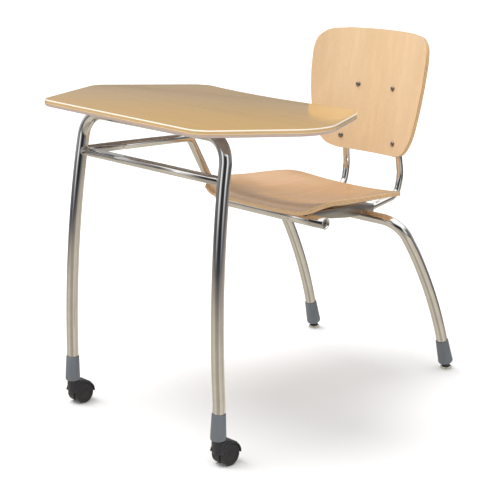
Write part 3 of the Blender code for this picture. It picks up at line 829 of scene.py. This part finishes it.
class DESKCHAIR_OT_rail_and_beam(bpy.types.Operator):
    """Make the connecting rail and the beam under the seat"""

    bl_idname = "deskchair.rail_and_beam"
    bl_label = "Rail and beam"

    def execute(self, context):
        mix_finishes(context)
        route = rail_route()
        chrome_tube("rail", route, RAIL_R, "connecting_rail")
        weld_bead("rail_weld", route[0], route[1], RAIL_R, LEG_R)
        beam = [(BEAM_X[0], BEAM_Y, BEAM_Z), (0.0, BEAM_Y, BEAM_Z), (BEAM_X[1], BEAM_Y, BEAM_Z)]
        chrome_tube("beam", beam, BEAM_R, "seat_beam", BEAM_WALL)
        refined("beam_plug", "satin")
        for _, tag in SIDES:
            refined(f"seat_pad_{tag}", "black", 0.0006)
        return {"FINISHED"}


class DESKCHAIR_OT_seat(bpy.types.Operator):
    """Make the moulded plywood seat"""

    bl_idname = "deskchair.seat"
    bl_label = "Seat"

    def execute(self, context):
        mix_finishes(context)
        mesh = shell_mesh("seat", seat_spot, SEAT_GRID, np.array((0, 0, 1)))
        put("seat", mesh, ["seat_face", "light_ply", "dark_ply"], "frame", ["seat_shell"], 50)
        return {"FINISHED"}


class DESKCHAIR_OT_rear_frame(bpy.types.Operator):
    """Make the rear leg arch and finish the seat brackets"""

    bl_idname = "deskchair.rear_frame"
    bl_label = "Rear frame"

    def execute(self, context):
        mix_finishes(context)
        chrome_tube("rear_legs", rear_frame_route(), ARCH_R, "rear_leg_arch")
        for _, tag in SIDES:
            refined(f"seat_bracket_{tag}", "satin", 0.0004, 28)
        return {"FINISHED"}


class DESKCHAIR_OT_back(bpy.types.Operator):
    """Make the moulded plywood back and the hoop that carries it"""

    bl_idname = "deskchair.back"
    bl_label = "Back"

    def execute(self, context):
        mix_finishes(context)
        mesh = shell_mesh("back", back_spot, BACK_GRID, np.array((0, -1, 0)))
        put("back", mesh, ["back_face", "light_ply", "dark_ply"], "frame", ["back_shell"], 50)
        chrome_tube("hoop", hoop_route(), HOOP_R, "back_hoop")
        return {"FINISHED"}


class DESKCHAIR_OT_fasteners(bpy.types.Operator):
    """Finish the screws in the back, the seat brackets and the top"""

    bl_idname = "deskchair.fasteners"
    bl_label = "Fasteners"

    def execute(self, context):
        mix_finishes(context)
        for node in sorted(frame["nodes"]):
            if "_screw_" in node:
                refined(node, "screw")
        return {"FINISHED"}


def glide_stem_mesh(name, side):
    """A ball, a slim neck that clears the socket as it tilts, and the shank up into the boot."""
    low, high = rear_leg_point(0.048, side), rear_leg_point(0.10, side)
    up = (high - low).normalized()
    ball = ORIGIN + low + up * ((GLIDE_BALL_Z - low.z) / up.z)
    angles = np.linspace(0, 2.42, 16)
    profile = [(GLIDE_BALL_R * math.sin(a), -GLIDE_BALL_R * math.cos(a)) for a in angles]
    profile[0] = (0.0, -GLIDE_BALL_R)
    profile += [(0.0033, 0.0048), (0.0033, 0.0078), (0.0039, 0.0090), (0.0039, 0.0330), (0.0, 0.0330)]
    return turned_to(lathe(name, profile, 40), up, ball)


class DESKCHAIR_OT_boots_and_glides(bpy.types.Operator):
    """Finish the leg boots and the swivel glides under the rear legs"""

    bl_idname = "deskchair.boots_and_glides"
    bl_label = "Boots and glides"

    def execute(self, context):
        mix_finishes(context)
        for side, tag in SIDES:
            for place in ("front", "rear"):
                refined(f"{place}_boot_{tag}", "boot", 0.0004, 40)
            refined(f"glide_socket_{tag}", "black")
            name = f"glide_stem_{tag}"
            put(f"{name}_fine", glide_stem_mesh(name, side), ["bright"], "frame", [name])
            refined(f"glide_cup_{tag}", "bright")
        return {"FINISHED"}


def wheel_mesh(name, centre, way):
    """A twin wheel half: rounded tread, dished face and hub boss."""
    profile = [
        (0.0029, 0.0070),
        (0.0225, 0.0070),
        (0.0243, 0.0076),
        (0.0250, 0.0090),
        (0.0250, 0.0160),
        (0.0246, 0.0176),
        (0.0234, 0.0185),
        (0.0205, 0.0185),
        (0.0196, 0.0182),
        (0.0188, 0.0172),
        (0.0110, 0.0168),
        (0.0088, 0.0172),
        (0.0078, 0.0183),
        (0.0070, 0.0185),
        (0.0029, 0.0185),
    ]
    return turned_to(lathe(name, profile, 72, closed=True), (way, 0, 0), centre)


class DESKCHAIR_OT_casters(bpy.types.Operator):
    """Make the twin wheels and finish the caster bodies, axles and stems"""

    bl_idname = "deskchair.casters"
    bl_label = "Casters"

    def execute(self, context):
        mix_finishes(context)
        for _, tag in SIDES:
            refined(f"caster_body_{tag}", "black", 0.0007, 28)
            refined(f"caster_axle_{tag}", "black")
            refined(f"caster_stem_{tag}", "bright")
            for way, face in ((-1, "a"), (1, "b")):
                node = f"caster_wheel_{tag}_{face}"
                centre = middle(f"caster_axle_{tag}")
                mesh = wheel_mesh(f"{node}_fine", centre, way)
                put(f"{node}_fine", mesh, ["tread"], f"wheel_{tag}_{face}", [node], 40)
        return {"FINISHED"}


# ---------------------------------------------------------------- studio

CAMERA_SPOT = (2.1394, -1.8587, 1.149)
CAMERA_YAW = math.radians(-44.2595)
CAMERA_PITCH = math.radians(-14.1482)
CAMERA_ROLL = math.radians(1.7594)
CAMERA_LENS = 95.47
FLOOR_REACH = 40.0
KEY_SPREAD = math.radians(34)
SOFT_BOX = (1.25, 1.25, 1.25, 1.0)
SOFT_BOX_EDGE = (0.42, 0.60)
HORIZON = (-0.16, -0.01)
KEY_DIRECTION = Vector((-0.22, -0.30, 1.0))
ROOM_FACING = (0.698, -0.716, 0.0)
ROOM_SIDE = (0.716, 0.698, 0.0)


def camera_matrix():
    cos_pitch = math.cos(CAMERA_PITCH)
    forward = Vector(
        (math.sin(CAMERA_YAW) * cos_pitch, math.cos(CAMERA_YAW) * cos_pitch, math.sin(CAMERA_PITCH))
    )
    level = Vector((math.cos(CAMERA_YAW), -math.sin(CAMERA_YAW), 0.0))
    upright = level.cross(forward)
    right = level * math.cos(CAMERA_ROLL) + upright * math.sin(CAMERA_ROLL)
    up = upright * math.cos(CAMERA_ROLL) - level * math.sin(CAMERA_ROLL)
    turn = Matrix((right, up, -forward)).transposed().to_4x4()
    return Matrix.Translation(ORIGIN + Vector(CAMERA_SPOT)) @ turn


ROOM_WALLS = (
    (0.000, 0.30),
    (0.083, 0.50),
    (0.128, 0.75),
    (0.219, 0.34),
    (0.289, 0.12),
    (0.328, 0.50),
    (0.347, 1.15),
    (0.383, 0.75),
    (0.417, 0.20),
    (0.440, 0.04),
    (0.500, 0.03),
    (0.555, 0.05),
    (0.580, 0.55),
    (0.600, 1.20),
    (0.639, 0.60),
    (0.683, 0.20),
    (0.711, 0.15),
    (0.780, 0.19),
    (0.847, 0.50),
    (0.917, 0.45),
    (1.000, 0.30),
)
FLOOR_STREAKS = (
    (0.000, 0.90),
    (0.128, 1.00),
    (0.219, 0.88),
    (0.289, 1.12),
    (0.350, 1.15),
    (0.400, 0.80),
    (0.500, 0.66),
    (0.547, 0.75),
    (0.590, 1.25),
    (0.650, 1.10),
    (0.711, 1.05),
    (0.780, 0.85),
    (0.850, 1.20),
    (1.000, 0.90),
)
ROOM_FLOOR = (
    (0.00, (0.62, 0.56, 0.46)),
    (0.34, (0.60, 0.54, 0.44)),
    (0.37, (0.52, 0.47, 0.39)),
    (0.40, (0.30, 0.27, 0.24)),
    (0.425, (0.10, 0.10, 0.11)),
    (0.450, (0.035, 0.040, 0.052)),
)


def room_light(ambient):
    """A white room for the eye, even light for matt faces, and soft boxes with dark gaps for glossy ones."""
    world = bpy.data.worlds.new("studio_room")
    world.use_nodes = True
    tree = world.node_tree
    tree.nodes.clear()
    add, join = tree.nodes.new, tree.links.new

    def ramp(source, stops):
        node = add("ShaderNodeValToRGB")
        elements = node.color_ramp.elements
        while len(elements) < len(stops):
            elements.new(0.5)
        for element, (position, tint) in zip(elements, stops):
            element.position = position
            element.color = (*(tint if isinstance(tint, tuple) else (tint, tint, tint)), 1.0)
        join(source, node.inputs["Fac"])
        return node.outputs["Color"]

    def along(vector):
        node = add("ShaderNodeVectorMath")
        node.operation = "DOT_PRODUCT"
        node.inputs[1].default_value = vector
        join(where.outputs["Generated"], node.inputs[0])
        return node.outputs["Value"]

    def mapped(source, low, high):
        node = add("ShaderNodeMapRange")
        node.inputs["From Min"].default_value = low
        node.inputs["From Max"].default_value = high
        join(source, node.inputs["Value"])
        return node.outputs["Result"]

    def mixed(factor, first, second, blend="MIX"):
        node = add("ShaderNodeMix")
        node.data_type = "RGBA"
        node.blend_type = blend
        if isinstance(factor, float):
            node.inputs["Factor"].default_value = factor
        else:
            join(factor, node.inputs["Factor"])
        join(first, node.inputs[6])
        if isinstance(second, tuple):
            node.inputs[7].default_value = second
        else:
            join(second, node.inputs[7])
        return node.outputs[2]

    where = add("ShaderNodeTexCoord")
    turn = add("ShaderNodeMath")
    turn.operation = "ARCTAN2"
    join(along(ROOM_SIDE), turn.inputs[0])
    join(along(ROOM_FACING), turn.inputs[1])
    round_about = mapped(turn.outputs["Value"], -math.pi, math.pi)
    walls = ramp(round_about, ROOM_WALLS)
    height = along((0.0, 0.0, 1.0))
    below = ramp(mapped(height, -1.0, 1.0), ROOM_FLOOR)
    ground = mixed(1.0, below, ramp(round_about, FLOOR_STREAKS), "MULTIPLY")
    room = mixed(mapped(height, *HORIZON), ground, walls)
    room = mixed(mapped(height, *SOFT_BOX_EDGE), room, SOFT_BOX)

    shells = {}
    for key, strength in (("glossy", 1.0), ("matt", ambient), ("eye", 1.0)):
        shells[key] = add("ShaderNodeBackground")
        shells[key].inputs["Color"].default_value = (1.0, 1.0, 1.0, 1.0)
        shells[key].inputs["Strength"].default_value = strength
    join(room, shells["glossy"].inputs["Color"])
    ray = add("ShaderNodeLightPath")
    shine = add("ShaderNodeMixShader")
    join(ray.outputs["Is Glossy Ray"], shine.inputs[0])
    join(shells["matt"].outputs[0], shine.inputs[1])
    join(shells["glossy"].outputs[0], shine.inputs[2])
    seen = add("ShaderNodeMixShader")
    join(ray.outputs["Is Camera Ray"], seen.inputs[0])
    join(shine.outputs[0], seen.inputs[1])
    join(shells["eye"].outputs[0], seen.inputs[2])
    out = add("ShaderNodeOutputWorld")
    join(seen.outputs[0], out.inputs["Surface"])
    return world


class DESKCHAIR_OT_studio(bpy.types.Operator):
    """Make the floor, the room, the key light and the camera"""

    bl_idname = "deskchair.studio"
    bl_label = "Studio"

    def execute(self, context):
        settings = context.scene.desk_studio
        bm = bmesh.new()
        bmesh.ops.create_grid(bm, x_segments=2, y_segments=2, size=FLOOR_REACH)
        floor = bpy.data.objects.new("floor", to_mesh("floor", bm))
        context.scene.collection.objects.link(floor)
        sheet = NodeSheet("floor_paint")
        tint = tuple(settings.floor)
        cloud = sheet.noise((0.6, 0.6, 0.6), 1.0, 2.0)
        sheet.base(sheet.ramp(cloud, [(0.3, shade(tint, 0.995)), (0.7, tint)]))
        sheet.shader.inputs["Roughness"].default_value = 0.9
        sheet.shader.inputs["Specular IOR Level"].default_value = 0.0
        floor.data.materials.append(sheet.material)
        floor.visible_glossy = False

        key = bpy.data.objects.new("key_light", bpy.data.lights.new("key_light", "SUN"))
        key.data.energy = settings.key * math.pi
        key.data.angle = KEY_SPREAD
        key.rotation_euler = KEY_DIRECTION.to_track_quat("Z", "Y").to_euler()
        context.scene.collection.objects.link(key)
        context.scene.world = room_light(settings.ambient)

        camera = bpy.data.objects.new("camera", bpy.data.cameras.new("camera"))
        camera.data.sensor_width = 36.0
        camera.data.lens = CAMERA_LENS
        camera.data.clip_start = 0.05
        camera.data.clip_end = 200.0
        context.scene.collection.objects.link(camera)
        camera.matrix_world = camera_matrix()
        context.scene.camera = camera
        context.scene.view_settings.view_transform = "Standard"
        return {"FINISHED"}


OPERATORS = (
    DESKCHAIR_OT_work_surface,
    DESKCHAIR_OT_front_frame,
    DESKCHAIR_OT_rail_and_beam,
    DESKCHAIR_OT_seat,
    DESKCHAIR_OT_rear_frame,
    DESKCHAIR_OT_back,
    DESKCHAIR_OT_fasteners,
    DESKCHAIR_OT_boots_and_glides,
    DESKCHAIR_OT_casters,
    DESKCHAIR_OT_studio,
)

SETTINGS = (
    ("desk_top", WorkSurfaceSettings),
    ("desk_shells", ShellSettings),
    ("desk_metal", MetalSettings),
    ("desk_plastic", PlasticSettings),
    ("desk_studio", StudioSettings),
)


class DESKCHAIR_PT_panel(bpy.types.Panel):
    """Steps and settings of the desk chair"""

    bl_idname = "DESKCHAIR_PT_panel"
    bl_label = "Desk Chair"
    bl_space_type = "VIEW_3D"
    bl_region_type = "UI"
    bl_category = "Desk Chair"

    def draw(self, context):
        for step in OPERATORS:
            self.layout.operator(step.bl_idname)
        for name, group in SETTINGS:
            box = self.layout.box()
            for setting in group.__annotations__:
                box.prop(getattr(context.scene, name), setting)


def register():
    for name, group in SETTINGS:
        bpy.utils.register_class(group)
        setattr(bpy.types.Scene, name, bpy.props.PointerProperty(type=group))
    for step in (*OPERATORS, DESKCHAIR_PT_panel):
        bpy.utils.register_class(step)


def unregister():
    for step in (*OPERATORS, DESKCHAIR_PT_panel):
        bpy.utils.unregister_class(step)
    for name, group in SETTINGS:
        delattr(bpy.types.Scene, name)
        bpy.utils.unregister_class(group)


def main():
    register()
    for step in OPERATORS:
        group, action = step.bl_idname.split(".")
        getattr(getattr(bpy.ops, group), action)()


if __name__ == "__main__":
    main()
